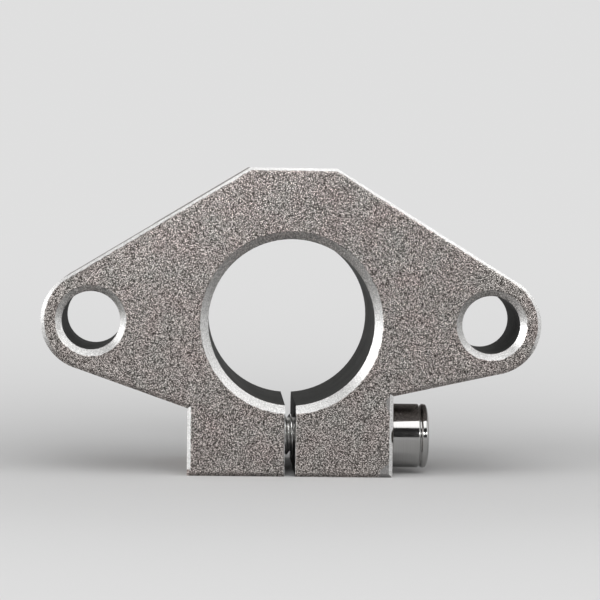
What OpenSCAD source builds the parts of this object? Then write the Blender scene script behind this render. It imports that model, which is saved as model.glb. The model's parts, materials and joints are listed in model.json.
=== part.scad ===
// Flange-type clamp support for a round linear shaft. One aluminium block has
// two bolt ears, a split bore and a foot. A socket head screw through the foot
// draws the two jaws together on the shaft.
//
// The origin is in the middle of the bore. The shaft runs along Y, the flat
// mounting face looks along -Y, and the block stands on its foot with Z up.

/* [Body] */
// Height of the block, from the foot to the flat on top
body_h = 37; // [36:0.5:44]
// Width of the flat on top
top_w = 10.4; // [6:0.2:16]
// Width of the foot, over both jaws
foot_w = 24.7; // [23.5:0.1:28]
// Height of the plain side of the foot, away from the screw head
foot_side_h = 8.1; // [6:0.1:10]
// Thickness of the ears, from the mounting face to the bolt seats
ear_t = 14; // [8:0.5:18]
// How far the clamp boss stands out behind the ears
boss_proud = 6; // [2:0.5:12]
// Width of the clamp boss behind the ears
boss_w = 34; // [28:0.5:38]
// Edge break along the whole outline, at both faces
edge_break = 0.5; // [0.2:0.05:0.8]

/* [Mounting ears] */
// Distance between the two mounting holes
hole_pitch = 48; // [46:0.5:60]
// Diameter of a mounting hole
hole_d = 7; // [5:0.5:8]
// Wall of an ear, round its hole
ear_wall = 2.5; // [2:0.1:4]
// Chamfer at both mouths of a mounting hole
hole_chamfer = 0.8; // [0.3:0.1:1.2]

/* [Shaft bore] */
// Diameter of the shaft that the jaws hold
shaft_d = 20; // [14:0.5:21]
// Chamfer at both mouths of the bore
bore_chamfer = 1; // [0.4:0.1:1.4]
// Width of the slit that parts the jaws
slit_w = 1.3; // [0.8:0.1:2.4]
// Edge break along the slit, at both faces
slit_break = 0.15; // [0.05:0.05:0.3]

/* [Clamp screw] */
// Depth of the screw axis behind the mounting face
screw_inset = 6; // [5:0.5:9]
// Outer diameter of the thread
screw_d = 5; // [4:0.1:5.6]
// Length of the screw under its head
screw_l = 20; // [16:1:24]
// Diameter of the head
head_d = 7.8; // [6.6:0.1:8.5]
// Height of the head
head_h = 4.6; // [4:0.1:6]
// Height of the rounded crown of the head
crown_h = 0.4; // [0.2:0.05:0.8]
// How far the rounded crown reaches in from the head's side
crown_w = 0.9; // [0.4:0.05:1]
// Plain rim between the crown and the ring groove
rim_w = 0.4; // [0.2:0.1:0.8]
// Depth of the ring groove, which is twice as wide
groove_depth = 0.2; // [0.1:0.05:0.3]
// Width of the hexagon socket across its flats
socket_af = 4; // [2.5:0.5:4.2]
// Depth of the hexagon socket
socket_depth = 2.5; // [1.5:0.1:3]

/* [Clearances] */
// Gap between the foot's plane and the screw head
head_lift = 0.6; // [0.3:0.1:1.5]
// Gap between the screw head and the ear above it
head_room = 1.4; // [0.6:0.1:2.5]
// Play of the screw in the plain jaw, on the diameter
screw_play = 0.5; // [0.2:0.1:0.8]
// Running play of the thread in the tapped jaw, on the diameter
thread_play = 0.1; // [0.06:0.02:0.2]
// Countersink at the mouths of the cross hole
mouth_break = 0.4; // [0.2:0.1:0.8]

/* [Hidden] */
$fn = 96;
over = 1;                               // how far a cutter runs past its work
skim = 0.05;                            // the same for the mouths of the cross hole
depth = ear_t + boss_proud;             // whole depth, along the shaft
face_y = -depth / 2;                    // the mounting face
top_z = body_h / 2;                     // the bore axis is at mid height
half_top = top_w / 2;
half_foot = foot_w / 2;
half_boss = boss_w / 2;
ear_x = hole_pitch / 2;
ear_r = hole_d / 2 + ear_wall;
flank_r = ear_r - 0.02;                 // the flanks run just inside the ear's rim
screw_z = -top_z + head_lift + head_d / 2;
root_right = screw_z + head_d / 2 + head_room;
root_left = -top_z + foot_side_h;
rim_z = head_h - crown_h - rim_w;       // upper edge of the ring groove, from the seat
seat_break = 0.2;                       // chamfer round the seat of the head
tip_cone = 0.8;                         // chamfer at the tip of the screw
CROWN_STEP = 15;                        // degrees from one point of the crown to the next

// Tilt of the flank that leaves the corner (x, z) and runs onto the ear's rim
function tilt(x, z) = atan2(z, ear_x - x) - asin(flank_r / norm([ear_x - x, z]));
// Where that flank ends, square below the middle of the ear
function touch(a) = [ear_x + flank_r * sin(a), flank_r * cos(a)];
function flip_x(p) = [-p[0], p[1]];
function flip_z(p) = [p[0], -p[1]];

top_tilt = tilt(half_top, top_z);
right_tilt = tilt(half_foot, -root_right);
left_tilt = tilt(half_foot, -root_left);
// The two undersides run on inside the foot and meet at the keel
slope_sum = tan(left_tilt) + tan(right_tilt);
slope_gap = tan(left_tilt) - tan(right_tilt);
keel_x = (root_left - root_right - half_foot * slope_gap) / slope_sum;
keel_z = root_right - (half_foot - keel_x) * tan(right_tilt);

// Web between the ears, counter-clockwise from the lower right
web_outline = [
    flip_z(touch(right_tilt)),
    touch(top_tilt),
    [half_top, top_z],
    [-half_top, top_z],
    flip_x(touch(top_tilt)),
    flip_x(flip_z(touch(left_tilt))),
    [keel_x, keel_z]
];
WEB_JOINS = [0, 4];                     // the edges that the ears cover

foot_outline = [
    [-half_foot, -top_z],
    [half_foot, -top_z],
    [half_foot, 0],
    [-half_foot, 0]
];

// ---- building blocks, drawn flat: outline in XY, mounting face at Z = 0 ----

// Stands a flat drawing up, with its Z = 0 face as the mounting face
module stand_up() {
    translate([0, face_y, 0])
        rotate([90, 0, 0])
            children();
}

// Bar that breaks the edge from p to q: its open side lies on the right of that
// way, and above the edge where up is 1 or below it where up is -1
module edge_cutter(p, q, z, up, size) {
    run = q - p;
    far = size + over;
    translate([p[0], p[1], z])
        rotate([0, 0, atan2(run[1], run[0])])
            translate([-over, 0, 0])
                rotate([90, 0, 90])
                    linear_extrude(height = norm(run) + 2 * over)
                        polygon([[far, up * over], [-over, -up * far], [-over, up * over]]);
}

// Prism of a convex outline with broken edges, except on the joins listed
module broken_prism(outline, thick, joins = []) {
    n = len(outline);
    difference() {
        translate([0, 0, -thick])
            linear_extrude(height = thick)
                polygon(outline);
        for (i = [0 : n - 1])
            if (len(search(i, joins)) == 0)
                for (up = [1, -1])
                    edge_cutter(outline[i], outline[(i + 1) % n],
                        (up - 1) / 2 * thick, up, edge_break);
    }
}

// Round ear with broken edges
module broken_disc(r, thick) {
    translate([0, 0, -thick])
        rotate_extrude()
            polygon([
                [0, 0],
                [r - edge_break, 0],
                [r, edge_break],
                [r, thick - edge_break],
                [r - edge_break, thick],
                [0, thick]
            ]);
}

// Through hole with a chamfer at both mouths
module chamfered_hole(r, thick, chamfer) {
    translate([0, 0, -thick - over])
        cylinder(h = thick + 2 * over, r = r);
    translate([0, 0, -chamfer])
        cylinder(h = chamfer + over, r1 = r, r2 = r + chamfer + over);
    translate([0, 0, -thick - over])
        cylinder(h = chamfer + over, r1 = r + chamfer + over, r2 = r);
}

// Slit from the bore down through the foot
module slit() {
    translate([-slit_w / 2, -top_z - over, -depth - over])
        cube([slit_w, top_z + over, depth + 2 * over]);
    for (side = [-1, 1])
        for (up = [1, -1])
            edge_cutter([side * slit_w / 2, (side - 1) / 2 * top_z],
                [side * slit_w / 2, -(side + 1) / 2 * top_z],
                (up - 1) / 2 * depth, up, slit_break);
}

// Cross hole along X: plain through the right jaw, tapped through the left
module cross_hole() {
    plain_r = (screw_d + screw_play) / 2;
    tapped_r = (screw_d + thread_play) / 2;
    translate([0, screw_z, -screw_inset])
        rotate([0, 90, 0]) {
            cylinder(h = half_foot + over, r = plain_r);
            translate([0, 0, -half_foot - over])
                cylinder(h = half_foot + 2 * over, r = tapped_r);
            translate([0, 0, half_foot - mouth_break])
                cylinder(h = mouth_break + skim, r1 = plain_r,
                    r2 = plain_r + mouth_break + skim);
            translate([0, 0, -half_foot - skim])
                cylinder(h = mouth_break + skim, r1 = tapped_r + mouth_break + skim,
                    r2 = tapped_r);
        }
}

// Clamp boss: the middle of the web carried on behind the ears
module boss() {
    difference() {
        intersection() {
            broken_prism(web_outline, depth, WEB_JOINS);
            translate([-half_boss, -top_z - over, -depth - over])
                cube([boss_w, body_h + 2 * over, depth + over - ear_t / 2]);
        }
        for (side = [-1, 1])
            edge_cutter([side * half_boss, -side * top_z], [side * half_boss, side * top_z],
                -depth, -1, edge_break);
    }
}

// ---- sub-parts ----

module support_block() {
    color([0.62, 0.60, 0.59])
        stand_up()
            difference() {
                union() {
                    broken_prism(web_outline, ear_t, WEB_JOINS);
                    for (side = [-1, 1])
                        translate([side * ear_x, 0, 0])
                            broken_disc(ear_r, ear_t);
                    boss();
                    broken_prism(foot_outline, depth);
                }
                chamfered_hole(shaft_d / 2, depth, bore_chamfer);
                for (side = [-1, 1])
                    translate([side * ear_x, 0, 0])
                        chamfered_hole(hole_d / 2, ear_t, hole_chamfer);
                slit();
                cross_hole();
            }
}

// Turned blank of the screw, tip at the bottom and seat at height 0
module screw_blank() {
    head_r = head_d / 2;
    shank_r = screw_d / 2;
    crown = [
        for (a = [0 : CROWN_STEP : 90])
            [head_r - crown_w * (1 - cos(a)), head_h - crown_h * (1 - sin(a))]
    ];
    rotate_extrude()
        polygon(concat(
            [
                [0, -screw_l],
                [shank_r - tip_cone, -screw_l],
                [shank_r, -screw_l + tip_cone],
                [shank_r, 0],
                [head_r - seat_break, 0],
                [head_r, seat_break],
                [head_r, rim_z - 2 * groove_depth],
                [head_r - groove_depth, rim_z - groove_depth],
                [head_r, rim_z]
            ],
            crown,
            [[0, head_h]]
        ));
}

// Hexagon socket with the drill's cone at its bottom
module socket() {
    hex_r = socket_af / sqrt(3);
    drill_r = 0.45 * socket_af;
    translate([0, 0, head_h - socket_depth])
        cylinder(h = socket_depth + over, r = hex_r, $fn = 6);
    translate([0, 0, head_h - socket_depth - drill_r / 2])
        cylinder(h = drill_r / 2, r1 = 0, r2 = drill_r);
    translate([0, 0, head_h - hex_r / 8])
        cylinder(h = hex_r / 8 + over, r1 = hex_r, r2 = hex_r + hex_r / 8 + over);
}

module clamp_screw() {
    color([0.78, 0.79, 0.80])
        translate([half_foot, face_y + screw_inset, screw_z])
            rotate([0, 90, 0])
                difference() {
                    screw_blank();
                    socket();
                }
}

support_block();
clamp_screw();
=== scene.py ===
import json
import math

import bmesh
import bpy
from bpy.props import FloatProperty, FloatVectorProperty, IntProperty, PointerProperty
from mathutils import Matrix, Vector


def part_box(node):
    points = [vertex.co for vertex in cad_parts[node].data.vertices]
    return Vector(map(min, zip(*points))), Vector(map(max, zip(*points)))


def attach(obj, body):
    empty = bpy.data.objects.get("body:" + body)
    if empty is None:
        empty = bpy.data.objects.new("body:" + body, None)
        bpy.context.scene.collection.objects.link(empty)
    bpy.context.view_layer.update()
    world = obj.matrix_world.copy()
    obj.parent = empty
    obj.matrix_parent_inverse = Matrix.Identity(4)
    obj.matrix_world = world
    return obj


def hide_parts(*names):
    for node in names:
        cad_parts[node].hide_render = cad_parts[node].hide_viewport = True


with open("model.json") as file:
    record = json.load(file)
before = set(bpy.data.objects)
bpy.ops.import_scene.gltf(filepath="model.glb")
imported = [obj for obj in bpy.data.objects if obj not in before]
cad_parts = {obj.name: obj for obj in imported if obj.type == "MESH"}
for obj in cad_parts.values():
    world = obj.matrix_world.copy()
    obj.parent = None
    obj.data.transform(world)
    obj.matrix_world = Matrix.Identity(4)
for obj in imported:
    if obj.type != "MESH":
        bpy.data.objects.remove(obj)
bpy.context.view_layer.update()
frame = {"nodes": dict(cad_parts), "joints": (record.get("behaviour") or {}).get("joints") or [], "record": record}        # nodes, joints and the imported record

bl_info = {
    "name": "Shaft support finish",
    "version": (1, 0, 0),
    "blender": (4, 5, 0),
    "location": "3D View > Sidebar > Shaft Support",
    "description": "Dresses a flange shaft support: blasted block, bright edges and a turned clamp screw",
    "category": "Object",
}

# ---- sizes that the frame gives, in metres ----

MM = 0.001
MOUNTS = {mount["name"]: mount for mount in frame["record"]["mounts"]}
BORE_R = MOUNTS["shaft_bore"]["dims"]["r_mm"] * MM
EAR_X = MOUNTS["mounting_holes"]["dims"]["spacing_x_mm"] / 2 * MM
EAR_HOLE_R = MOUNTS["mounting_holes"]["dims"]["hole_r_mm"] * MM
SEAT = Vector(frame["joints"][0]["pos_m"])      # seat of the screw's head, on its axis
BLOCK_LOW, BLOCK_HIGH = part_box("support_block")
SCREW_LOW, SCREW_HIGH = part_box("clamp_screw")
HEAD_R = (SCREW_HIGH.z - SCREW_LOW.z) / 2
HEAD_H = SCREW_HIGH.x - SEAT.x
SHANK_L = SEAT.x - SCREW_LOW.x
FOOT_SIDE = SEAT.x                              # the seat lies on the foot's right side
BLOCK_POINTS = [vertex.co for vertex in frame["nodes"]["support_block"].data.vertices]
FLUSH = 0.01 * MM                               # a point this close to a plane lies in it
ROOT_Z = max(p.z for p in BLOCK_POINTS if p.z < 0 and abs(p.x - FOOT_SIDE) < FLUSH)
EDGE_BREAK = min(p.y for p in BLOCK_POINTS if abs(p.x - FOOT_SIDE) < FLUSH) - BLOCK_LOW.y

SHARP = math.radians(30)                        # an edge that bends more than this stays sharp
NEAR = 0.05 * MM                                # room for facets, where a wall is looked up


# ---- short ways to build node trees ----

def feed(tree, socket, value):
    """Links a socket to another node's output, or sets it to a plain value"""
    if isinstance(value, bpy.types.NodeSocket):
        tree.links.new(value, socket)
    else:
        socket.default_value = value


def put(tree, kind, feeds=None, **settings):
    """Adds a node, sets its settings and feeds its inputs"""
    node = tree.nodes.new(kind)
    for name, value in settings.items():
        setattr(node, name, value)
    for name, value in (feeds or {}).items():
        feed(tree, node.inputs[name], value)
    return node


def calc(tree, operation, *values, clamp=False):
    """One step of arithmetic; gives its output socket"""
    feeds = dict(enumerate(values))
    return put(tree, "ShaderNodeMath", feeds, operation=operation, use_clamp=clamp).outputs[0]


def remap(tree, value, low, high, to_low=0.0, to_high=1.0, blend="LINEAR"):
    """Stretches a value from one range to another, held at its ends"""
    feeds = {"Value": value, "From Min": low, "From Max": high, "To Min": to_low, "To Max": to_high}
    return put(tree, "ShaderNodeMapRange", feeds, interpolation_type=blend).outputs["Result"]


def mix_colour(tree, factor, first, second, blend="MIX"):
    """Mixes two colours"""
    node = put(tree, "ShaderNodeMix", data_type="RGBA", blend_type=blend)
    for name, value in (("Factor_Float", factor), ("A_Color", first), ("B_Color", second)):
        feed(tree, next(s for s in node.inputs if s.identifier == name), value)
    return next(s for s in node.outputs if s.identifier == "Result_Color")


def new_group(name, inputs, outputs, kind="ShaderNodeTree"):
    """An empty node group with the sockets given as (name, type, default); gives it with its two ends"""
    tree = bpy.data.node_groups.new(name, kind)
    for socket_name, socket_type, default in inputs:
        socket = tree.interface.new_socket(socket_name, in_out="INPUT", socket_type=socket_type)
        if default is not None:
            socket.default_value = default
    for socket_name, socket_type in outputs:
        tree.interface.new_socket(socket_name, in_out="OUTPUT", socket_type=socket_type)
    return tree, tree.nodes.new("NodeGroupInput").outputs, tree.nodes.new("NodeGroupOutput").inputs


def use_group(tree, group, feeds):
    """Places a node group in a material and feeds its inputs"""
    return put(tree, "ShaderNodeGroup", feeds, node_tree=group).outputs


def grey(value):
    """A neutral colour"""
    return (value, value, value, 1.0)


def seen_directly(tree):
    """1 for what the camera sees, straight or through metal and glass, and 0 for light on its way"""
    ray = put(tree, "ShaderNodeLightPath").outputs
    straight = calc(tree, "MAXIMUM", ray["Is Camera Ray"], ray["Is Glossy Ray"])
    return calc(tree, "MAXIMUM", straight, ray["Is Transmission Ray"])


# ---- effects that several finishes share ----

NOISE_RANGE = (0.3, 0.7)                        # nearly all values of a noise texture lie between these
FINE_SHARE, PIT_SHARE, CLUMP_SHARE = 0.6, 0.3, 0.15     # what each pattern gives to the grain
CLUMP_SCALE = 0.4                               # scale of the clumps against the grain's own
GRAIN_RANGE = (0.453, 0.648)                    # the three together in a pit and on a peak
PIT_BIAS = 1.55                                 # above 1, pits take more room than peaks
RAGGED_SIZE, RAGGED_BLUR = 0.9 * MM, 0.03 * MM  # teeth and softness of the skin's limit on an edge
SPOT_SIZE, SPOT_BLUR = 0.5 * MM, 0.06 * MM      # the same for the limit of a worn spot


def blast_grain_group():
    """Peened grain of a blasted surface: Grain runs from 0 in a pit to 1 on a peak"""
    tree, given, out = new_group(
        "blast_grain",
        [("Place", "NodeSocketVector", None), ("Grain Size", "NodeSocketFloat", 0.16 * MM)],
        [("Grain", "NodeSocketFloat"), ("Relief", "NodeSocketFloat")])
    per_metre = calc(tree, "DIVIDE", 1.0, given["Grain Size"])
    fine = put(tree, "ShaderNodeTexNoise",
               {"Vector": given["Place"], "Scale": per_metre, "Detail": 1.0, "Roughness": 0.5})
    cells = put(tree, "ShaderNodeTexVoronoi",
                {"Vector": given["Place"], "Scale": per_metre}, feature="F1")
    clumps = put(tree, "ShaderNodeTexNoise",
                 {"Vector": given["Place"], "Scale": calc(tree, "MULTIPLY", per_metre, CLUMP_SCALE),
                  "Detail": 1.0})
    pits = calc(tree, "SUBTRACT", 1.0, cells.outputs["Distance"], clamp=True)
    blend = calc(tree, "ADD", calc(tree, "MULTIPLY", fine.outputs["Fac"], FINE_SHARE),
                 calc(tree, "MULTIPLY", pits, PIT_SHARE))
    blend = calc(tree, "ADD", blend, calc(tree, "MULTIPLY", clumps.outputs["Fac"], CLUMP_SHARE))
    level = remap(tree, blend, *GRAIN_RANGE)
    tree.links.new(calc(tree, "POWER", level, PIT_BIAS), out["Grain"])
    tree.links.new(blend, out["Relief"])
    return tree


def mottle_group():
    """Soft patches of tone over a surface, from 0 to 1"""
    tree, given, out = new_group(
        "mottle",
        [("Place", "NodeSocketVector", None), ("Patch Size", "NodeSocketFloat", 4 * MM)],
        [("Patches", "NodeSocketFloat")])
    per_metre = calc(tree, "DIVIDE", 1.0, given["Patch Size"])
    clouds = put(tree, "ShaderNodeTexNoise",
                 {"Vector": given["Place"], "Scale": per_metre, "Detail": 3.0, "Roughness": 0.55})
    tree.links.new(remap(tree, clouds.outputs["Fac"], *NOISE_RANGE), out["Patches"])
    return tree


def edge_wear_group():
    """Where a chamfer is cut bright: 1 on it, falling to 0 along a ragged limit beside the flat face"""
    tree, given, out = new_group(
        "edge_wear",
        [("Place", "NodeSocketVector", None), ("Overlap", "NodeSocketFloat", 0.08 * MM),
         ("Ragged", "NodeSocketFloat", 0.3 * MM)],
        [("Wear", "NodeSocketFloat")])
    depth = put(tree, "ShaderNodeSeparateXYZ", {0: given["Place"]}).outputs["Y"]
    gaps = [calc(tree, "ABSOLUTE", calc(tree, "SUBTRACT", depth, face)) for face in flat_faces_y()]
    gap = calc(tree, "MINIMUM", calc(tree, "MINIMUM", gaps[0], gaps[1]), gaps[2])
    ragged = put(tree, "ShaderNodeTexNoise",
                 {"Vector": given["Place"], "Scale": 1 / RAGGED_SIZE, "Detail": 4.0, "Roughness": 0.75})
    swing = calc(tree, "MULTIPLY", calc(tree, "SUBTRACT", ragged.outputs["Fac"], 0.5), given["Ragged"])
    inside = calc(tree, "SUBTRACT", calc(tree, "SUBTRACT", gap, given["Overlap"]), swing)
    tree.links.new(remap(tree, inside, -RAGGED_BLUR, RAGGED_BLUR, blend="SMOOTHSTEP"), out["Wear"])
    return tree


def near_point_group():
    """A ragged patch round one point: Near is 1 within its reach and 0 outside"""
    tree, given, out = new_group(
        "near_point",
        [("Place", "NodeSocketVector", None), ("Point", "NodeSocketVector", None),
         ("Stretch", "NodeSocketVector", (1.0, 1.0, 1.0)), ("Reach", "NodeSocketFloat", 1 * MM)],
        [("Near", "NodeSocketFloat")])
    offset = put(tree, "ShaderNodeVectorMath", {0: given["Place"], 1: given["Point"]},
                 operation="SUBTRACT")
    offset = put(tree, "ShaderNodeVectorMath", {0: offset.outputs[0], 1: given["Stretch"]},
                 operation="DIVIDE")
    away = put(tree, "ShaderNodeVectorMath", {0: offset.outputs[0]}, operation="LENGTH").outputs["Value"]
    ragged = put(tree, "ShaderNodeTexNoise",
                 {"Vector": given["Place"], "Scale": 1 / SPOT_SIZE, "Detail": 3.0, "Roughness": 0.7})
    swing = calc(tree, "MULTIPLY", calc(tree, "SUBTRACT", ragged.outputs["Fac"], 0.5), given["Reach"])
    edge = calc(tree, "SUBTRACT", calc(tree, "ADD", away, swing), given["Reach"])
    tree.links.new(remap(tree, edge, SPOT_BLUR, -SPOT_BLUR, blend="SMOOTHSTEP"), out["Near"])
    return tree


def tool_marks_group():
    """Fine lines that a cutting tool leaves across one axis: Lines runs from 0 to 1"""
    tree, given, out = new_group(
        "tool_marks",
        [("Place", "NodeSocketVector", None), ("Along", "NodeSocketVector", (0.0, 1.0, 0.0)),
         ("Pitch", "NodeSocketFloat", 0.1 * MM)],
        [("Lines", "NodeSocketFloat")])
    on_axis = put(tree, "ShaderNodeVectorMath",
                  {0: given["Place"], 1: given["Along"]}, operation="DOT_PRODUCT").outputs["Value"]
    lines = put(tree, "ShaderNodeTexNoise",
                {"W": calc(tree, "DIVIDE", on_axis, given["Pitch"]), "Scale": 1.0, "Detail": 2.0},
                noise_dimensions="1D")
    tree.links.new(remap(tree, lines.outputs["Fac"], *NOISE_RANGE), out["Lines"])
    return tree


def shared_groups():
    """The node groups that the finishes share, built once"""
    made = {"grain": ("blast_grain", blast_grain_group), "mottle": ("mottle", mottle_group),
            "wear": ("edge_wear", edge_wear_group), "near": ("near_point", near_point_group),
            "marks": ("tool_marks", tool_marks_group)}
    return {key: bpy.data.node_groups.get(name) or make() for key, (name, make) in made.items()}


# ---- finishes ----

PAINTED_EDGE_LIGHT = "shine"                                 # painted light and shade on a broken edge, by which way it faces
OVERLAP = "overlap"                             # how far the skin runs onto a broken edge, in metres
SKIN_ROUGH = (0.4, 0.26)                        # roughness of the skin in a pit and on a peak
BORED_ROUGH = (0.34, 0.46)                      # least and most roughness of the bored walls
PLATE_ROUGH = (0.07, 0.13)                      # the same for the plated head
WORN_RELIEF = 0.3                               # share of the grain's relief left on cut or rubbed metal
CUT_RANGE = (0.45, 0.64)                        # the grain's relief where a cut edge is dull and bright
BORE_FEED, BORE_DEPTH = 0.12 * MM, 0.003 * MM   # pitch and depth of the marks in the bored walls
TURN_FEED, TURN_DEPTH = 0.1 * MM, 0.0005 * MM   # the same on the turned head
BORE_PATCH, PLATE_PATCH = 3 * MM, 1.5 * MM      # size of the duller patches on both
MARK_TONE = 0.9                                 # tone of a turning mark against the plating
FLOOR_CLOUDS, FLOOR_SHADE = 30.0, 0.98          # scale and tone of the floor's faint clouds


def new_material(name, metallic, low_angle=1.0):
    """A material with one Principled shader; gives it with its tree, its shader and Object coordinates.

    low_angle is the share of light that a metal still mirrors at a low angle.
    """
    material = bpy.data.materials.new(name)
    material.use_nodes = True
    tree = material.node_tree
    tree.nodes.clear()
    shader = put(tree, "ShaderNodeBsdfPrincipled",
                 {"Metallic": metallic, "Specular Tint": grey(low_angle)})
    output = put(tree, "ShaderNodeOutputMaterial")
    tree.links.new(shader.outputs[0], output.inputs["Surface"])
    place = put(tree, "ShaderNodeTexCoord").outputs["Object"]
    return material, tree, shader, place


def raise_surface(tree, shader, height, depth, strength=1.0):
    """Gives the shader a relief of the stated depth in metres"""
    bump = put(tree, "ShaderNodeBump", {"Height": height, "Distance": depth, "Strength": strength})
    tree.links.new(bump.outputs["Normal"], shader.inputs["Normal"])


def blasted_skin(tree, place, look, groups):
    """Dark peened grain in warm and cool patches; gives its colour, its roughness and its relief"""
    grain = use_group(tree, groups["grain"], {"Place": place, "Grain Size": look.grain_size})
    patches = use_group(tree, groups["mottle"],
                        {"Place": place, "Patch Size": look.patch_size})["Patches"]
    warm = mix_colour(tree, grain["Grain"], (*look.pit_warm, 1), (*look.peak_warm, 1))
    cool = mix_colour(tree, grain["Grain"], (*look.pit_cool, 1), (*look.peak_cool, 1))
    rough = remap(tree, grain["Grain"], 0.0, 1.0, *SKIN_ROUGH)
    return mix_colour(tree, patches, warm, cool), rough, grain["Relief"]


def patch(tree, place, groups, point, reach, stretch=(1.0, 1.0, 1.0)):
    """Mask of a ragged patch round a point of the block"""
    feeds = {"Place": place, "Point": point, "Reach": reach, "Stretch": stretch}
    return use_group(tree, groups["near"], feeds)["Near"]


def rubbed_spots(tree, place, look, groups):
    """Mask of the foot's two spots beside the screw that are rubbed smooth: its corner and its root"""
    corner = patch(tree, place, groups, (FOOT_SIDE, BLOCK_LOW.y, BLOCK_LOW.z), look.corner_rub)
    below_root = (FOOT_SIDE - EDGE_BREAK, BLOCK_LOW.y, ROOT_Z - look.root_rub)
    root = patch(tree, place, groups, below_root, look.root_rub / 2, stretch=(1.0, 1.0, 2.0))
    return calc(tree, "MULTIPLY", calc(tree, "MAXIMUM", corner, root), look.rub_cover)


def blasted_aluminium(look, groups):
    """Skin of the block, rubbed smooth in two spots beside the screw"""
    material, tree, shader, place = new_material("blasted_aluminium", 1.0, look.skin_low_angle)
    skin, rough, relief = blasted_skin(tree, place, look, groups)
    rub = rubbed_spots(tree, place, look, groups)
    rubbed = tuple(look.rub_tone * part for part in look.bright_colour)
    tree.links.new(mix_colour(tree, rub, skin, (*rubbed, 1)), shader.inputs["Base Color"])
    tree.links.new(rough, shader.inputs["Roughness"])
    raise_surface(tree, shader, relief, look.grain_depth, remap(tree, rub, 0.0, 1.0, 1.0, WORN_RELIEF))
    return material


def bright_edge(look, groups):
    """Broken edges and chamfers: cut metal that the blasted skin runs into along a ragged limit, and
    painted shade where an edge faces down
    """
    material, tree, shader, place = new_material("bright_edge", 1.0)
    skin, skin_rough, relief = blasted_skin(tree, place, look, groups)
    overlap = put(tree, "ShaderNodeAttribute", attribute_name=OVERLAP).outputs["Fac"]
    wear = use_group(tree, groups["wear"], {"Place": place, "Overlap": overlap,
                                            "Ragged": look.wear_ragged})["Wear"]
    # painted light and shade by which way each edge faces: where an edge faces down, the skin's dark
    # colour is painted as shade
    shine = put(tree, "ShaderNodeAttribute", attribute_name=PAINTED_EDGE_LIGHT).outputs["Fac"]
    corner = patch(tree, place, groups, (-FOOT_SIDE, BLOCK_LOW.y, BLOCK_LOW.z), look.skin_creep)
    root = patch(tree, place, groups, (-FOOT_SIDE, BLOCK_LOW.y, ROOT_Z), look.skin_creep)
    bare = calc(tree, "SUBTRACT", 1.0, calc(tree, "MAXIMUM", corner, root))
    # bright cut metal only where the edge is worn and painted lit
    cut = calc(tree, "MULTIPLY", calc(tree, "MULTIPLY", wear, shine), bare)
    grain = remap(tree, relief, *CUT_RANGE)
    dull = tuple(look.cut_dull * part for part in look.bright_colour)
    tone = mix_colour(tree, grain, (*dull, 1), (*look.bright_colour, 1))
    # a small dark crescent painted into the edge beside the screw's head, in the cool pits' colour
    dark_spot_at = (FOOT_SIDE, BLOCK_LOW.y + EDGE_BREAK, SEAT.z + look.dark_spot_rise)
    dark_spot = patch(tree, place, groups, dark_spot_at, look.dark_spot_width, stretch=(1.0, 1.0, look.dark_spot_stretch))
    rubbed = tuple(look.rub_tone * part for part in look.bright_colour)
    metal = mix_colour(tree, rubbed_spots(tree, place, look, groups), skin, (*rubbed, 1))
    metal = mix_colour(tree, cut, metal, tone)
    tree.links.new(mix_colour(tree, dark_spot, metal, (*look.pit_cool, 1)), shader.inputs["Base Color"])
    rough = put(tree, "ShaderNodeMix", {"Factor": cut, "A": skin_rough, "B": look.cut_roughness})
    tree.links.new(rough.outputs["Result"], shader.inputs["Roughness"])
    raise_surface(tree, shader, relief, look.grain_depth, remap(tree, cut, 0.0, 1.0, 1.0, WORN_RELIEF))
    return material


def bored_wall(look, groups):
    """Bored and sawn walls: smooth metal with fine tool marks, painted dark as shade, and mirroring little
    at a low angle
    """
    material, tree, shader, place = new_material("bored_wall", 1.0, look.bored_low_angle)
    lines = use_group(tree, groups["marks"], {"Place": place, "Along": (0.0, 1.0, 0.0),
                                              "Pitch": BORE_FEED})["Lines"]
    patches = use_group(tree, groups["mottle"], {"Place": place, "Patch Size": BORE_PATCH})["Patches"]
    # both tones are painted dark, as painted shade
    tone = mix_colour(tree, lines, (*look.bored_shaded_dark, 1), (*look.bored_shaded_light, 1))
    tree.links.new(tone, shader.inputs["Base Color"])
    tree.links.new(remap(tree, patches, 0.0, 1.0, *BORED_ROUGH), shader.inputs["Roughness"])
    raise_surface(tree, shader, lines, BORE_DEPTH)
    return material


def plated_steel(look, groups):
    """Plating of the screw, with faint turning marks: the head is painted dark, as painted shade, and the
    thread light, as a painted highlight
    """
    material, tree, shader, place = new_material("plated_steel", 1.0)
    lines = use_group(tree, groups["marks"], {"Place": place, "Along": (1.0, 0.0, 0.0),
                                              "Pitch": TURN_FEED})["Lines"]
    patches = use_group(tree, groups["mottle"], {"Place": place, "Patch Size": PLATE_PATCH})["Patches"]
    dull = tuple(MARK_TONE * part for part in look.plate_shaded_colour)
    head = mix_colour(tree, lines, (*dull, 1), (*look.plate_shaded_colour, 1))
    along = put(tree, "ShaderNodeSeparateXYZ", {0: place}).outputs["X"]
    shank = calc(tree, "LESS_THAN", along, SEAT.x - NEAR)
    # the thread gets a lighter colour than the head: a painted highlight
    tree.links.new(mix_colour(tree, shank, head, (*look.thread_lit_colour, 1)), shader.inputs["Base Color"])
    gloss = remap(tree, patches, 0.0, 1.0, *PLATE_ROUGH)
    rough = put(tree, "ShaderNodeMix", {"Factor": shank, "A": gloss, "B": look.thread_roughness})
    tree.links.new(rough.outputs["Result"], shader.inputs["Roughness"])
    raise_surface(tree, shader, lines, TURN_DEPTH)
    return material


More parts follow.
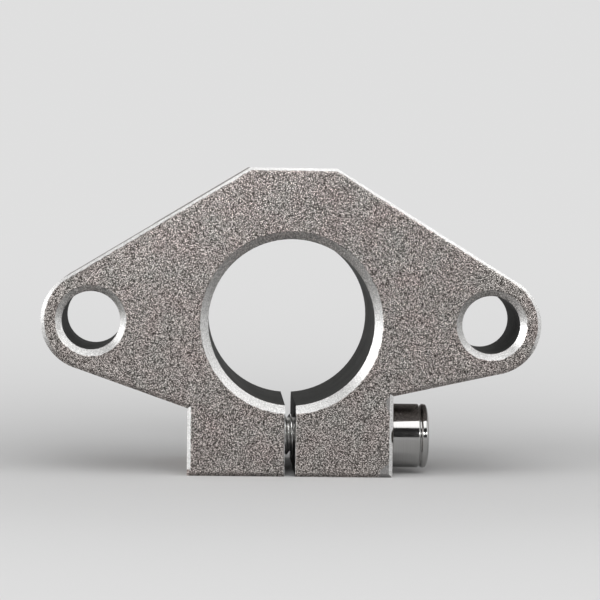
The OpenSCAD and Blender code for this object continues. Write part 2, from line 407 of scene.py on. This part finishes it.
def pale_floor(look):
    """Pale sheet under the block, which runs into the pale surroundings with distance"""
    material, tree, shader, place = new_material("pale_floor", 0.0)
    clouds = put(tree, "ShaderNodeTexNoise", {"Vector": place, "Scale": FLOOR_CLOUDS, "Detail": 2.0})
    low = tuple(FLOOR_SHADE * part for part in look.floor_colour)
    tree.links.new(mix_colour(tree, clouds.outputs["Fac"], (*low, 1), (*look.floor_colour, 1)),
                   shader.inputs["Base Color"])
    shader.inputs["Roughness"].default_value = look.floor_roughness
    away = put(tree, "ShaderNodeVectorMath", {0: place}, operation="LENGTH").outputs["Value"]
    near = calc(tree, "DIVIDE", 1.0, away)
    fade = remap(tree, near, 1 / look.fade_start, 1 / look.fade_end, blend="SMOOTHSTEP")
    fade = calc(tree, "MULTIPLY", fade, seen_directly(tree))
    sky = put(tree, "ShaderNodeEmission", {"Color": grey(look.backdrop)})
    joined = put(tree, "ShaderNodeMixShader", {0: fade, 1: shader.outputs[0], 2: sky.outputs[0]})
    output = next(n for n in tree.nodes if n.bl_idname == "ShaderNodeOutputMaterial")
    tree.links.new(joined.outputs[0], output.inputs["Surface"])
    return material


# ---- the block ----

SKIN, BRIGHT, BORED = range(3)                  # its material slots, by finish
WELD = 0.002 * MM                               # vertices closer than this are one vertex
ROUND_HOLES = 1.2 * MM                          # reach of the chamfers round the bore and the holes
SLIT_ZONE = 1 * MM                              # reach of the slit's walls and edges from the middle
SQUARE = 0.9                                    # a face square to an axis points along it by more
LEANING = (0.6, 0.8)                            # a face at 45 degrees to it does by a value between these
HOLE_SHADED_LIGHT = 0.3                                # least painted light on a hole's chamfer, where it faces down into painted shade
SLIT_SHADED_LIGHT = 0.35                               # painted light on the slit's edge on the right jaw, held low as painted shade
PAINTED_LIGHT_RISE = (-0.47, -0.22)                     # how far up an outer edge points for full painted shade and for full painted light
CREST_RISE = (0.3, 0.6)                         # the same for the least and the most overlap of the skin


def flat_faces_y():
    """Where the mounting face, the back of the ears and the back of the boss lie along the shaft"""
    return BLOCK_LOW.y, max(p.y for p in BLOCK_POINTS if abs(p.x) > EAR_X), BLOCK_HIGH.y


def past_hole(point):
    """How far a point lies outside the bore's wall or a mounting hole's, whichever is nearer"""
    past_bore = math.hypot(point.x, point.z) - BORE_R
    return min(past_bore, math.hypot(abs(point.x) - EAR_X, point.z) - EAR_HOLE_R)


def ramp(value, low, high):
    """0 up to low, 1 from high on, and an even slope between"""
    return min(1.0, max(0.0, (value - low) / (high - low)))


def painted_edge_light_of(face):
    """Painted light on a broken edge by which way it faces: 1 where it is painted lit, as bright cut
    metal, 0 where it faces down and is painted in shade, with the dark blasted skin
    """
    centre, normal = face.calc_center_median(), face.normal
    if past_hole(centre) < ROUND_HOLES:
        return min(1.0, max(HOLE_SHADED_LIGHT, 1.0 + normal.z))
    if abs(centre.x) < SLIT_ZONE and normal.x < 0:
        return SLIT_SHADED_LIGHT
    return ramp(normal.z, *PAINTED_LIGHT_RISE)


def overlap_of(face, look):
    """How far the skin runs onto a broken edge: further where an outer edge faces up"""
    inside = past_hole(face.calc_center_median()) < ROUND_HOLES
    share = 0.0 if inside else ramp(face.normal.z, *CREST_RISE)
    return look.wear_start + share * (look.crest_overlap - look.wear_start)


def finish_of(face):
    """The finish of one face of the block, by where it lies and which way it points"""
    centre, normal = face.calc_center_median(), face.normal
    from_screw = math.hypot(centre.y - SEAT.y, centre.z - SEAT.z)
    if LEANING[0] < abs(normal.y) < LEANING[1]:
        return BRIGHT
    if past_hole(centre) < NEAR:
        return BORED
    if abs(centre.x) < SLIT_ZONE and abs(normal.x) > SQUARE:
        return BORED
    if from_screw < HEAD_R and abs(normal.x) < SQUARE:
        return BRIGHT if abs(normal.x) > LEANING[0] else BORED
    return SKIN


def keep_edges_sharp(shape):
    """Smooth shading that stops at every edge which bends more than SHARP"""
    for face in shape.faces:
        face.smooth = True
    for edge in shape.edges:
        edge.smooth = edge.calc_face_angle(0.0) < SHARP


def block_mesh(look):
    """The CAD block with its triangles merged and its finishes sorted"""
    shape = bmesh.new()
    shape.from_mesh(frame["nodes"]["support_block"].data)
    bmesh.ops.remove_doubles(shape, verts=shape.verts, dist=WELD)
    bmesh.ops.dissolve_degenerate(shape, edges=shape.edges, dist=WELD)
    # each face's painted light and shade by which way it faces, and how far the skin runs onto it
    shine, overlap = [], []
    for face in shape.faces:
        face.material_index = finish_of(face)
        shine.append(painted_edge_light_of(face))
        overlap.append(overlap_of(face, look))
    keep_edges_sharp(shape)
    mesh = bpy.data.meshes.new("block_body")
    shape.to_mesh(mesh)
    shape.free()
    mesh.attributes.remove(mesh.attributes["custom_normal"])
    mesh.attributes.new(PAINTED_EDGE_LIGHT, "FLOAT", "FACE").data.foreach_set("value", shine)
    mesh.attributes.new(OVERLAP, "FLOAT", "FACE").data.foreach_set("value", overlap)
    return mesh


# ---- the screw ----

THREAD_FLANK = (0.08, 0.44)                     # where a flank starts and ends, in pitches from a crest
HALF_FLAT = math.radians(30)                    # half of what one flat of the hexagon spans
SAME_POINT = 1e-6                               # points of a turned part closer than this are one
NO_EDGE = 1e-7                                  # an edge shorter than this is taken out
SOFT = 0.04 * MM                                # softness of the ring groove's and the socket's edges
CROWN_STEPS = 10                                # steps along the crown's arc
LEAST_THREAD = 0.001                            # depth share of the thread where it has run out
SOCKET_MOUTH = 1.125                            # mouth of the socket's cone against the hexagon's corners
SOCKET_DRILL = 0.9                              # radius of the drilled bottom against the socket's flats
JAW_CREST, JAW_WALL = 0.04 * MM, 0.045 * MM     # the jaw's thread and its ends, past the screw's radius
JAW_START, JAW_END = 0.1 * MM, 0.45 * MM        # it starts past the screw's tip and ends short of the side
JAW_LEAST, JAW_RUN_OUT = 0.05, 0.5              # its depth share at both ends, and pitches to full depth


def turned_part_tree():
    """Turns a profile of points round an axis, with a helical thread and a hexagon socket.

    The profile's points hold their distance along the axis in X and their radius in Y. A point with
    thread above 0 is cut by the thread, one with hexagon above 0 lies on the socket's wall, and lip
    lets the socket's edge follow the cone round its mouth.
    """
    tree, given, out = new_group(
        "turned_part",
        [("Geometry", "NodeSocketGeometry", None), ("Segments", "NodeSocketInt", 96),
         ("Axis Start", "NodeSocketVector", None), ("Pitch", "NodeSocketFloat", 0.8 * MM),
         ("Thread Radius", "NodeSocketFloat", 2.5 * MM), ("Thread Depth", "NodeSocketFloat", 0.45 * MM),
         ("Across Flats", "NodeSocketFloat", 4 * MM), ("Material", "NodeSocketMaterial", None)],
        [("Geometry", "NodeSocketGeometry")], kind="GeometryNodeTree")
    rows = put(tree, "GeometryNodeAttributeDomainSize", {"Geometry": given["Geometry"]},
               component="MESH").outputs["Point Count"]
    grid = put(tree, "GeometryNodeMeshGrid", {
        "Size X": calc(tree, "SUBTRACT", rows, 1.0), "Size Y": given["Segments"], "Vertices X": rows,
        "Vertices Y": calc(tree, "ADD", given["Segments"], 1.0)}).outputs["Mesh"]
    here = put(tree, "ShaderNodeSeparateXYZ", {0: put(tree, "GeometryNodeInputPosition").outputs[0]})
    half_rows = calc(tree, "DIVIDE", calc(tree, "SUBTRACT", rows, 1.0), 2.0)
    row = calc(tree, "ROUND", calc(tree, "ADD", here.outputs["X"], half_rows))
    share = calc(tree, "DIVIDE", here.outputs["Y"], given["Segments"])
    angle = calc(tree, "MULTIPLY", share, math.tau)

    def look_up(value, data_type):
        """What the profile's point for this row says"""
        feeds = {"Geometry": given["Geometry"], "Index": row}
        node = put(tree, "GeometryNodeSampleIndex", feeds, data_type=data_type, domain="POINT")
        tree.links.new(value, node.inputs["Value"])
        return node.outputs["Value"]

    def named(name):
        """A named number that the profile's points carry"""
        return put(tree, "GeometryNodeInputNamedAttribute", {"Name": name}, data_type="FLOAT").outputs[0]

    point = put(tree, "ShaderNodeSeparateXYZ",
                {0: look_up(put(tree, "GeometryNodeInputPosition").outputs[0], "FLOAT_VECTOR")})
    along, radius = point.outputs["X"], point.outputs["Y"]
    thread, hexagon, lip = (look_up(named(n), "FLOAT") for n in ("thread", "hexagon", "lip"))

    turn = calc(tree, "SUBTRACT", calc(tree, "DIVIDE", along, given["Pitch"]), share)
    from_crest = calc(tree, "ABSOLUTE", calc(tree, "SUBTRACT", calc(tree, "FRACT", turn), 0.5))
    valley = remap(tree, from_crest, *THREAD_FLANK)
    cut = calc(tree, "MULTIPLY", calc(tree, "MULTIPLY", given["Thread Depth"], thread), valley)
    cut_radius = calc(tree, "MINIMUM", radius, calc(tree, "SUBTRACT", given["Thread Radius"], cut))
    sixth = calc(tree, "WRAP", angle, HALF_FLAT, -HALF_FLAT)
    flat = calc(tree, "DIVIDE", calc(tree, "DIVIDE", given["Across Flats"], 2.0),
                calc(tree, "COSINE", sixth))

    def choose(test, otherwise, chosen):
        """The second value where the test is above 0, else the first"""
        feeds = {"Switch": calc(tree, "GREATER_THAN", test, 0.0), "False": otherwise, "True": chosen}
        return put(tree, "GeometryNodeSwitch", feeds, input_type="FLOAT").outputs[0]

    final_radius = choose(hexagon, choose(thread, radius, cut_radius), flat)
    rise = calc(tree, "SUBTRACT", flat, calc(tree, "DIVIDE", given["Across Flats"], 2.0))
    final_along = calc(tree, "ADD", along, calc(tree, "MULTIPLY", rise, lip))
    place = put(tree, "ShaderNodeCombineXYZ", {
        "X": final_along, "Y": calc(tree, "MULTIPLY", final_radius, calc(tree, "COSINE", angle)),
        "Z": calc(tree, "MULTIPLY", final_radius, calc(tree, "SINE", angle))}).outputs[0]
    moved = put(tree, "ShaderNodeVectorMath", {0: place, 1: given["Axis Start"]}, operation="ADD")
    turned = put(tree, "GeometryNodeSetPosition", {"Geometry": grid, "Position": moved.outputs[0]})
    closed = put(tree, "GeometryNodeMergeByDistance",
                 {"Geometry": turned.outputs[0], "Distance": SAME_POINT})
    real = put(tree, "GeometryNodeRealizeInstances", {"Geometry": closed.outputs[0]})
    done = put(tree, "GeometryNodeSetMaterial",
               {"Geometry": real.outputs[0], "Material": given["Material"]})
    tree.links.new(done.outputs[0], out["Geometry"])
    return tree


def turn_part(name, profile, tree, values):
    """Turns a profile of (along, radius, thread, hexagon, lip) points into a closed mesh object"""
    mesh = bpy.data.meshes.new(name)
    mesh.from_pydata([(along, radius, 0.0) for along, radius, *_ in profile], [], [])
    for column, label in ((2, "thread"), (3, "hexagon"), (4, "lip")):
        layer = mesh.attributes.new(label, "FLOAT", "POINT")
        layer.data.foreach_set("value", [point[column] for point in profile])
    blank = bpy.data.objects.new(name, mesh)
    bpy.context.scene.collection.objects.link(blank)
    modifier = blank.modifiers.new("turned", "NODES")
    modifier.node_group = tree
    sockets = {item.name: item.identifier for item in tree.interface.items_tree
               if item.item_type == "SOCKET" and item.in_out == "INPUT"}
    for label, value in values.items():
        modifier[sockets[label]] = value
    graph = bpy.context.evaluated_depsgraph_get()
    result = bpy.data.meshes.new_from_object(blank.evaluated_get(graph), depsgraph=graph)
    blank.modifiers.remove(modifier)
    shape = bmesh.new()
    shape.from_mesh(result)
    bmesh.ops.dissolve_degenerate(shape, edges=shape.edges, dist=NO_EDGE)
    bmesh.ops.recalc_face_normals(shape, faces=shape.faces)
    keep_edges_sharp(shape)
    shape.to_mesh(result)
    shape.free()
    blank.data = result
    return blank


def plain(along, radius):
    """A profile point with nothing cut into it"""
    return (along, radius, 0.0, 0.0, 0.0)


def arc(centre, size, start, end, steps):
    """Profile points along an elliptical arc, with angles in degrees"""
    turns = [math.radians(start + (end - start) * i / steps) for i in range(steps + 1)]
    return [plain(centre[0] + size[0] * math.sin(a), centre[1] + size[1] * math.cos(a)) for a in turns]


def screw_profile(look):
    """Profile of the clamp screw from its tip to the bottom of its socket"""
    crest, tip = look.thread_d / 2, look.thread_d / 2 - look.tip_cone
    rows = [plain(-SHANK_L, 0.0), plain(-SHANK_L, tip)]
    step = look.thread_pitch / look.rows_per_turn
    count = round((SHANK_L - look.thread_end) / step)
    for i in range(count + 1):
        along = -SHANK_L + (i + 0.5) * step
        fade = min(1.0, max(LEAST_THREAD, (-look.thread_end - along) / look.thread_pitch))
        rows.append((along, min(crest, tip + (along + SHANK_L)), fade, 0.0, 0.0))
    seat, rim, deep = look.seat_break, look.rim_width, look.groove_depth
    rim_at = HEAD_H - look.crown_height - rim
    groove_at, groove_r = rim_at - 2 * deep, HEAD_R - deep + SOFT
    rows += [plain(0.0, crest), plain(0.0, HEAD_R - seat), plain(seat, HEAD_R)]
    rows += [plain(seat + SOFT, HEAD_R), plain(groove_at - 2 * SOFT, HEAD_R)]
    rows += [plain(groove_at - SOFT, HEAD_R), plain(groove_at, HEAD_R - SOFT / 2)]
    rows += [plain(rim_at - deep - SOFT, groove_r), plain(rim_at - deep + SOFT, groove_r)]
    rows += [plain(rim_at, HEAD_R - SOFT / 2), plain(rim_at + SOFT, HEAD_R)]
    rows += arc((HEAD_H - look.crown_height, HEAD_R - look.crown_width),
                (look.crown_height, look.crown_width), 0, 90, CROWN_STEPS)
    apothem = look.socket_flats / 2
    mouth, drill = apothem / math.cos(HALF_FLAT) * SOCKET_MOUTH, SOCKET_DRILL * apothem
    bottom = HEAD_H - look.socket_depth
    rows += [plain(HEAD_H, mouth + 2 * SOFT), plain(HEAD_H - SOFT / 2, mouth)]
    rows += [(HEAD_H - (mouth - apothem), apothem, 0.0, 1.0, 1.0), (bottom, apothem, 0.0, 1.0, 0.0)]
    return rows + [plain(bottom, drill), plain(bottom - drill / 2, 0.0)]


def jaw_thread_profile(look):
    """Closed profile of the jaw's thread where it lies open, from the screw's tip to the jaw's side"""
    wall = look.thread_d / 2 + JAW_WALL
    start, end = -SHANK_L - JAW_START, -2 * FOOT_SIDE + JAW_END
    step = look.thread_pitch / look.rows_per_turn
    count = round((start - end) / step)
    rows = [plain(start, wall)]
    for i in range(count + 1):
        along = start + (end - start) * i / count
        nearest = min(start - along, along - end)
        fade = min(1.0, JAW_LEAST + nearest / (JAW_RUN_OUT * look.thread_pitch))
        rows.append((along, wall, fade, 0.0, 0.0))
    return rows + [plain(end, wall), plain(start, wall)]


# ---- settings that a user would change ----

def length_setting(name, description, default):
    """A length in metres"""
    return FloatProperty(name=name, description=description, default=default, unit="LENGTH", precision=5)


def share_setting(name, description, default):
    """A share from 0 to 1"""
    return FloatProperty(name=name, description=description, default=default, min=0.0, max=1.0,
                         subtype="FACTOR")


def colour_setting(name, description, default):
    """A colour"""
    return FloatVectorProperty(name=name, description=description, default=default, subtype="COLOR")


class BlockLook(bpy.types.PropertyGroup):
    """Finish of the block"""
    grain_size: length_setting("Grain size", "Size of one pit of the blasted skin", 0.106 * MM)
    grain_depth: length_setting("Grain depth", "Depth of the pits", 0.01 * MM)
    patch_size: length_setting("Patch size", "Size of the warm and cool patches", 3.5 * MM)
    pit_warm: colour_setting("Warm pits", "Colour of the pits in a warm patch", (0.045, 0.037, 0.034))
    peak_warm: colour_setting("Warm peaks", "Colour of the peaks in a warm patch", (0.98, 0.865, 0.825))
    pit_cool: colour_setting("Cool pits", "Colour of the pits in a cool patch", (0.041, 0.039, 0.035))
    peak_cool: colour_setting("Cool peaks", "Colour of the peaks in a cool patch", (0.94, 0.90, 0.855))
    bright_colour: colour_setting("Bright edges", "Colour of the cut edges", (0.90, 0.895, 0.885))
    cut_dull: share_setting("Dull share", "Tone of the dull grain on the cut edges", 0.6)
    cut_roughness: share_setting("Cut roughness", "Roughness of the cut edges", 0.42)
    wear_start: length_setting("Skin overlap", "How far the skin runs onto a cut edge", 0.06 * MM)
    wear_ragged: length_setting("Ragged limit", "How far the limit of the skin swings", 0.45 * MM)
    crest_overlap: length_setting("Skin overlap on top", "The same, where an edge faces up", 0.2 * MM)
    corner_rub: length_setting("Corner rub", "Reach of the rubbed patch on the foot's corner", 1.7 * MM)
    root_rub: length_setting("Root rub", "Reach of the rubbed patch at the foot's root", 0.8 * MM)
    skin_creep: length_setting("Skin creep", "Reach of the skin over the ends of the left edge",
                               0.85 * MM)
    # settings of the small dark crescent painted into the edge beside the screw
    dark_spot_width: length_setting("Nick width", "Width of the nick in the edge beside the screw",
                               0.32 * MM)
    dark_spot_rise: length_setting("Nick rise", "Height of the nick above the screw's axis", 0.5 * MM)
    dark_spot_stretch: FloatProperty(name="Nick stretch", description="Height of the nick against its width",
                                default=2.4)
    rub_cover: share_setting("Rub cover", "How much of the grain the rub takes away", 0.8)
    rub_tone: share_setting("Rub tone", "Tone of the rubbed corner against the bright edges", 0.34)
    skin_low_angle: share_setting("Low-angle shine, skin",
                                  "Share of light that the blasted skin mirrors at a low angle", 0.6)
    # the bored walls mirror little at a low angle and their tones are painted dark, as painted shade in
    # the bore, the holes and the slit
    bored_low_angle: share_setting("Low-angle shine, bored walls",
                                   "Share of light that the bored walls mirror at a low angle", 0.12)
    bored_shaded_dark: colour_setting("Bored walls, dark", "Darker tone of the bored walls",
                               (0.14, 0.14, 0.137))
    bored_shaded_light: colour_setting("Bored walls, light", "Lighter tone of the bored walls",
                                (0.24, 0.24, 0.235))


class ScrewLook(bpy.types.PropertyGroup):
    """Sizes and finish of the clamp screw"""
    thread_d: length_setting("Thread diameter", "Outer diameter of the thread", 5 * MM)
    thread_pitch: length_setting("Pitch", "Advance of the thread in one turn", 0.8 * MM)
    thread_depth: length_setting("Thread depth", "Depth of the thread", 0.46 * MM)
    thread_end: length_setting("Plain neck", "Length without thread under the head", 1.2 * MM)
    tip_cone: length_setting("Tip cone", "Chamfer at the tip", 0.8 * MM)
    rows_per_turn: IntProperty(name="Rows per turn", description="Mesh rows along one turn of the thread",
                               default=16, min=8)
    segments: IntProperty(name="Segments", description="Mesh segments round the screw",
                          default=96, min=24)
    seat_break: length_setting("Seat break", "Chamfer round the seat of the head", 0.2 * MM)
    rim_width: length_setting("Rim width", "Rim between the crown and the ring groove", 0.4 * MM)
    groove_depth: length_setting("Groove depth", "Depth of the ring groove", 0.2 * MM)
    crown_height: length_setting("Crown height", "Height of the rounded crown", 0.4 * MM)
    crown_width: length_setting("Crown width", "Reach of the rounded crown", 0.9 * MM)
    socket_flats: length_setting("Across flats", "Width of the hexagon socket", 4 * MM)
    socket_depth: length_setting("Socket depth", "Depth of the hexagon socket", 2.5 * MM)
    # the plating is painted darker than plated steel, as painted shade, and the thread lighter, as a
    # painted highlight
    plate_shaded_colour: colour_setting("Plating", "Colour of the plating", (0.39, 0.387, 0.38))
    thread_lit_colour: colour_setting("Thread", "Colour of the rolled thread", (0.78, 0.775, 0.76))
    thread_roughness: share_setting("Thread roughness", "How dull the rolled thread is", 0.3)


class StageLook(bpy.types.PropertyGroup):
    """Floor, light and camera"""
    floor_colour: colour_setting("Floor", "Colour of the pale floor", (0.6, 0.6, 0.6))
    floor_roughness: share_setting("Floor roughness", "How dull the floor is", 0.85)
    backdrop: FloatProperty(name="Backdrop", description="How pale the surroundings look", default=0.74)
    fade_start: length_setting("Fade start", "Where the floor starts to fade", 0.045)
    fade_end: length_setting("Fade end", "Where the floor has run into the backdrop", 1.5)
    daylight: FloatProperty(name="Surrounding light", description="Strength of the even light",
                            default=0.35)
    lens: FloatProperty(name="Lens", description="Focal length on a 36 mm sensor, in millimetres",
                        default=142.7)
    distance: length_setting("Distance", "From the camera to the mounting face", 0.2840)
    turn: FloatProperty(name="Turn", description="How far the camera stands to the left",
                        default=math.radians(2.224), subtype="ANGLE")
    pitch: FloatProperty(name="Pitch", description="How far the camera looks down",
                         default=math.radians(3.165), subtype="ANGLE")
    roll: FloatProperty(name="Roll", description="How far the camera leans to its left",
                        default=math.radians(0.847), subtype="ANGLE")
    aim: FloatVectorProperty(name="Aim", description="Point that the camera looks at",
                             subtype="TRANSLATION", default=(0.92 * MM, BLOCK_LOW.y, 2.78 * MM))


# name, place, width and height, and power in watts; the gap between the two bars is what the
# screw's head mirrors, so its bright band stays a single one
LAMPS = (("front_box", (0.02, -0.184, 0.190), (0.16, 0.150), 0.15),
         ("front_bar_left", (-0.116, -0.27, 0.06), (0.268, 0.03), 0.215),
         ("front_bar_right", (0.154, -0.27, 0.06), (0.192, 0.03), 0.145),
         ("overhead", (0.0, -0.12, 0.48), (0.5, 0.4), 0.55),
         ("left_strip", (-0.50, -0.22, 0.12), (0.25, 0.35), 1.8),
         ("right_strip", (0.50, -0.22, 0.12), (0.25, 0.35), 0.42),
         ("right_top", (0.32, -0.10, 0.32), (0.25, 0.25), 0.3))
FLOOR_REACH = 4.0                               # from the middle of the floor to its sides, in metres
CARD_HALF, CARD_Y, CARD_TOP = 0.9, -0.55, 0.40  # half width, place and upper edge of the dark card
CARD_TONE, CARD_ROUGH = 0.03, 0.9               # its tone and its roughness
SENSOR = 36.0                                   # width of the camera's sensor, in millimetres
NEAREST, FURTHEST = 0.01, 20.0                  # what the camera can see, in metres


def area_lamp(name, place, target, size, watts):
    """A soft rectangular lamp that faces its target"""
    lamp = bpy.data.lights.new(name, "AREA")
    lamp.shape = "RECTANGLE"
    lamp.size, lamp.size_y = size
    lamp.energy = watts
    thing = bpy.data.objects.new(name, lamp)
    thing.location = place
    thing.rotation_euler = (Vector(target) - Vector(place)).to_track_quat("-Z", "Y").to_euler()
    thing.visible_camera = False
    bpy.context.scene.collection.objects.link(thing)


# ---- operators, one for each piece and one for the stage ----

class ShaftSupportBlock(bpy.types.Operator):
    """Dress the block: blasted skin, bright edges, bored and sawn walls"""
    bl_idname = "shaft_support.dress_block"
    bl_label = "Dress the block"

    def execute(self, context):
        look = context.scene.shaft_block
        groups = shared_groups()
        block = bpy.data.objects.new("block_body", block_mesh(look))
        context.scene.collection.objects.link(block)
        for make in (blasted_aluminium, bright_edge, bored_wall):
            block.data.materials.append(make(look, groups))
        even = block.modifiers.new("flat_faces_stay_flat", "WEIGHTED_NORMAL")
        even.keep_sharp = True
        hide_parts("support_block")
        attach(block, "block")
        return {"FINISHED"}


class ShaftSupportScrew(bpy.types.Operator):
    """Turn the clamp screw with its thread and socket, and the thread in the tapped jaw"""
    bl_idname = "shaft_support.turn_screw"
    bl_label = "Turn the clamp screw"

    def execute(self, context):
        look = context.scene.shaft_screw
        tree = turned_part_tree()
        groups = shared_groups()
        values = {"Segments": look.segments, "Axis Start": SEAT, "Pitch": look.thread_pitch,
                  "Thread Radius": look.thread_d / 2, "Thread Depth": look.thread_depth,
                  "Across Flats": look.socket_flats, "Material": plated_steel(look, groups)}
        screw = turn_part("clamp_screw_turned", screw_profile(look), tree, values)
        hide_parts("clamp_screw")
        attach(screw, "screw")
        values["Thread Radius"] = look.thread_d / 2 + JAW_CREST
        values["Material"] = bored_wall(context.scene.shaft_block, groups)
        thread = turn_part("jaw_thread", jaw_thread_profile(look), tree, values)
        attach(thread, "block")
        return {"FINISHED"}


class ShaftSupportStage(bpy.types.Operator):
    """Set the pale floor, the soft lamps and the camera"""
    bl_idname = "shaft_support.set_stage"
    bl_label = "Set the stage"

    def execute(self, context):
        look = context.scene.shaft_stage
        mesh = bpy.data.meshes.new("floor")
        corners = ((-1, -1), (1, -1), (1, 1), (-1, 1))
        mesh.from_pydata([(x * FLOOR_REACH, y * FLOOR_REACH, BLOCK_LOW.z) for x, y in corners],
                         [], [(0, 1, 2, 3)])
        mesh.materials.append(pale_floor(look))
        floor = bpy.data.objects.new("floor", mesh)
        context.scene.collection.objects.link(floor)
        self.set_world(look)
        self.set_lamps()
        self.set_card(context)
        self.set_camera(context, look)
        return {"FINISHED"}

    def set_world(self, look):
        """Even light, with pale surroundings for what the camera and the metal see"""
        world = bpy.data.worlds.new("studio")
        world.use_nodes = True
        tree = world.node_tree
        tree.nodes.clear()
        light = put(tree, "ShaderNodeBackground", {"Color": grey(1.0), "Strength": look.daylight})
        seen = put(tree, "ShaderNodeBackground", {"Color": grey(look.backdrop), "Strength": 1.0})
        both = put(tree, "ShaderNodeMixShader",
                   {0: seen_directly(tree), 1: light.outputs[0], 2: seen.outputs[0]})
        output = put(tree, "ShaderNodeOutputWorld")
        tree.links.new(both.outputs[0], output.inputs["Surface"])
        bpy.context.scene.world = world

    def set_lamps(self):
        """Every soft lamp of the stage, turned to the block"""
        for name, place, size, watts in LAMPS:
            area_lamp(name, place, (0, 0, 0), size, watts)

    def set_card(self, context):
        """Dark card in front, behind the camera: it gives the metal something dark to mirror"""
        material, tree, shader, place = new_material("dark_card", 0.0)
        shader.inputs["Base Color"].default_value = grey(CARD_TONE)
        shader.inputs["Roughness"].default_value = CARD_ROUGH
        mesh = bpy.data.meshes.new("dark_card")
        corners = ((-1, BLOCK_LOW.z), (1, BLOCK_LOW.z), (1, CARD_TOP), (-1, CARD_TOP))
        mesh.from_pydata([(side * CARD_HALF, CARD_Y, z) for side, z in corners], [], [(0, 3, 2, 1)])
        mesh.materials.append(material)
        card = bpy.data.objects.new("dark_card", mesh)
        card.visible_camera = False
        context.scene.collection.objects.link(card)

    def set_camera(self, context, look):
        """Camera in front of the mounting face, a little to the left and above"""
        data = bpy.data.cameras.new("camera")
        data.sensor_width = SENSOR
        data.lens = look.lens
        data.clip_start, data.clip_end = NEAREST, FURTHEST
        camera = bpy.data.objects.new("camera", data)
        forward = Vector((math.sin(look.turn) * math.cos(look.pitch),
                          math.cos(look.turn) * math.cos(look.pitch), -math.sin(look.pitch)))
        camera.location = Vector(look.aim) - look.distance * forward
        camera.rotation_mode = "QUATERNION"
        lean = Matrix.Rotation(look.roll, 4, "Z").to_quaternion()
        camera.rotation_quaternion = forward.to_track_quat("-Z", "Y") @ lean
        context.scene.collection.objects.link(camera)
        context.scene.camera = camera
        context.scene.view_settings.view_transform = "Standard"


class ShaftSupportPanel(bpy.types.Panel):
    """Buttons and settings in the sidebar"""
    bl_idname = "VIEW3D_PT_shaft_support"
    bl_label = "Shaft Support"
    bl_space_type = "VIEW_3D"
    bl_region_type = "UI"
    bl_category = "Shaft Support"

    def draw(self, context):
        scene = context.scene
        for operator, look in ((ShaftSupportBlock, scene.shaft_block),
                               (ShaftSupportScrew, scene.shaft_screw),
                               (ShaftSupportStage, scene.shaft_stage)):
            self.layout.operator(operator.bl_idname)
            for name in look.__annotations__:
                self.layout.prop(look, name)


CLASSES = (BlockLook, ScrewLook, StageLook, ShaftSupportBlock, ShaftSupportScrew, ShaftSupportStage,
           ShaftSupportPanel)


def register():
    """Registers the classes and hangs the settings on the scene"""
    for cls in CLASSES:
        bpy.utils.register_class(cls)
    bpy.types.Scene.shaft_block = PointerProperty(type=BlockLook)
    bpy.types.Scene.shaft_screw = PointerProperty(type=ScrewLook)
    bpy.types.Scene.shaft_stage = PointerProperty(type=StageLook)


def unregister():
    """Takes the settings and the classes away again"""
    del bpy.types.Scene.shaft_stage
    del bpy.types.Scene.shaft_screw
    del bpy.types.Scene.shaft_block
    for cls in reversed(CLASSES):
        bpy.utils.unregister_class(cls)


def main():
    """Builds the pieces and the stage"""
    register()
    bpy.ops.shaft_support.dress_block()
    bpy.ops.shaft_support.turn_screw()
    bpy.ops.shaft_support.set_stage()


if __name__ == "__main__":
    main()
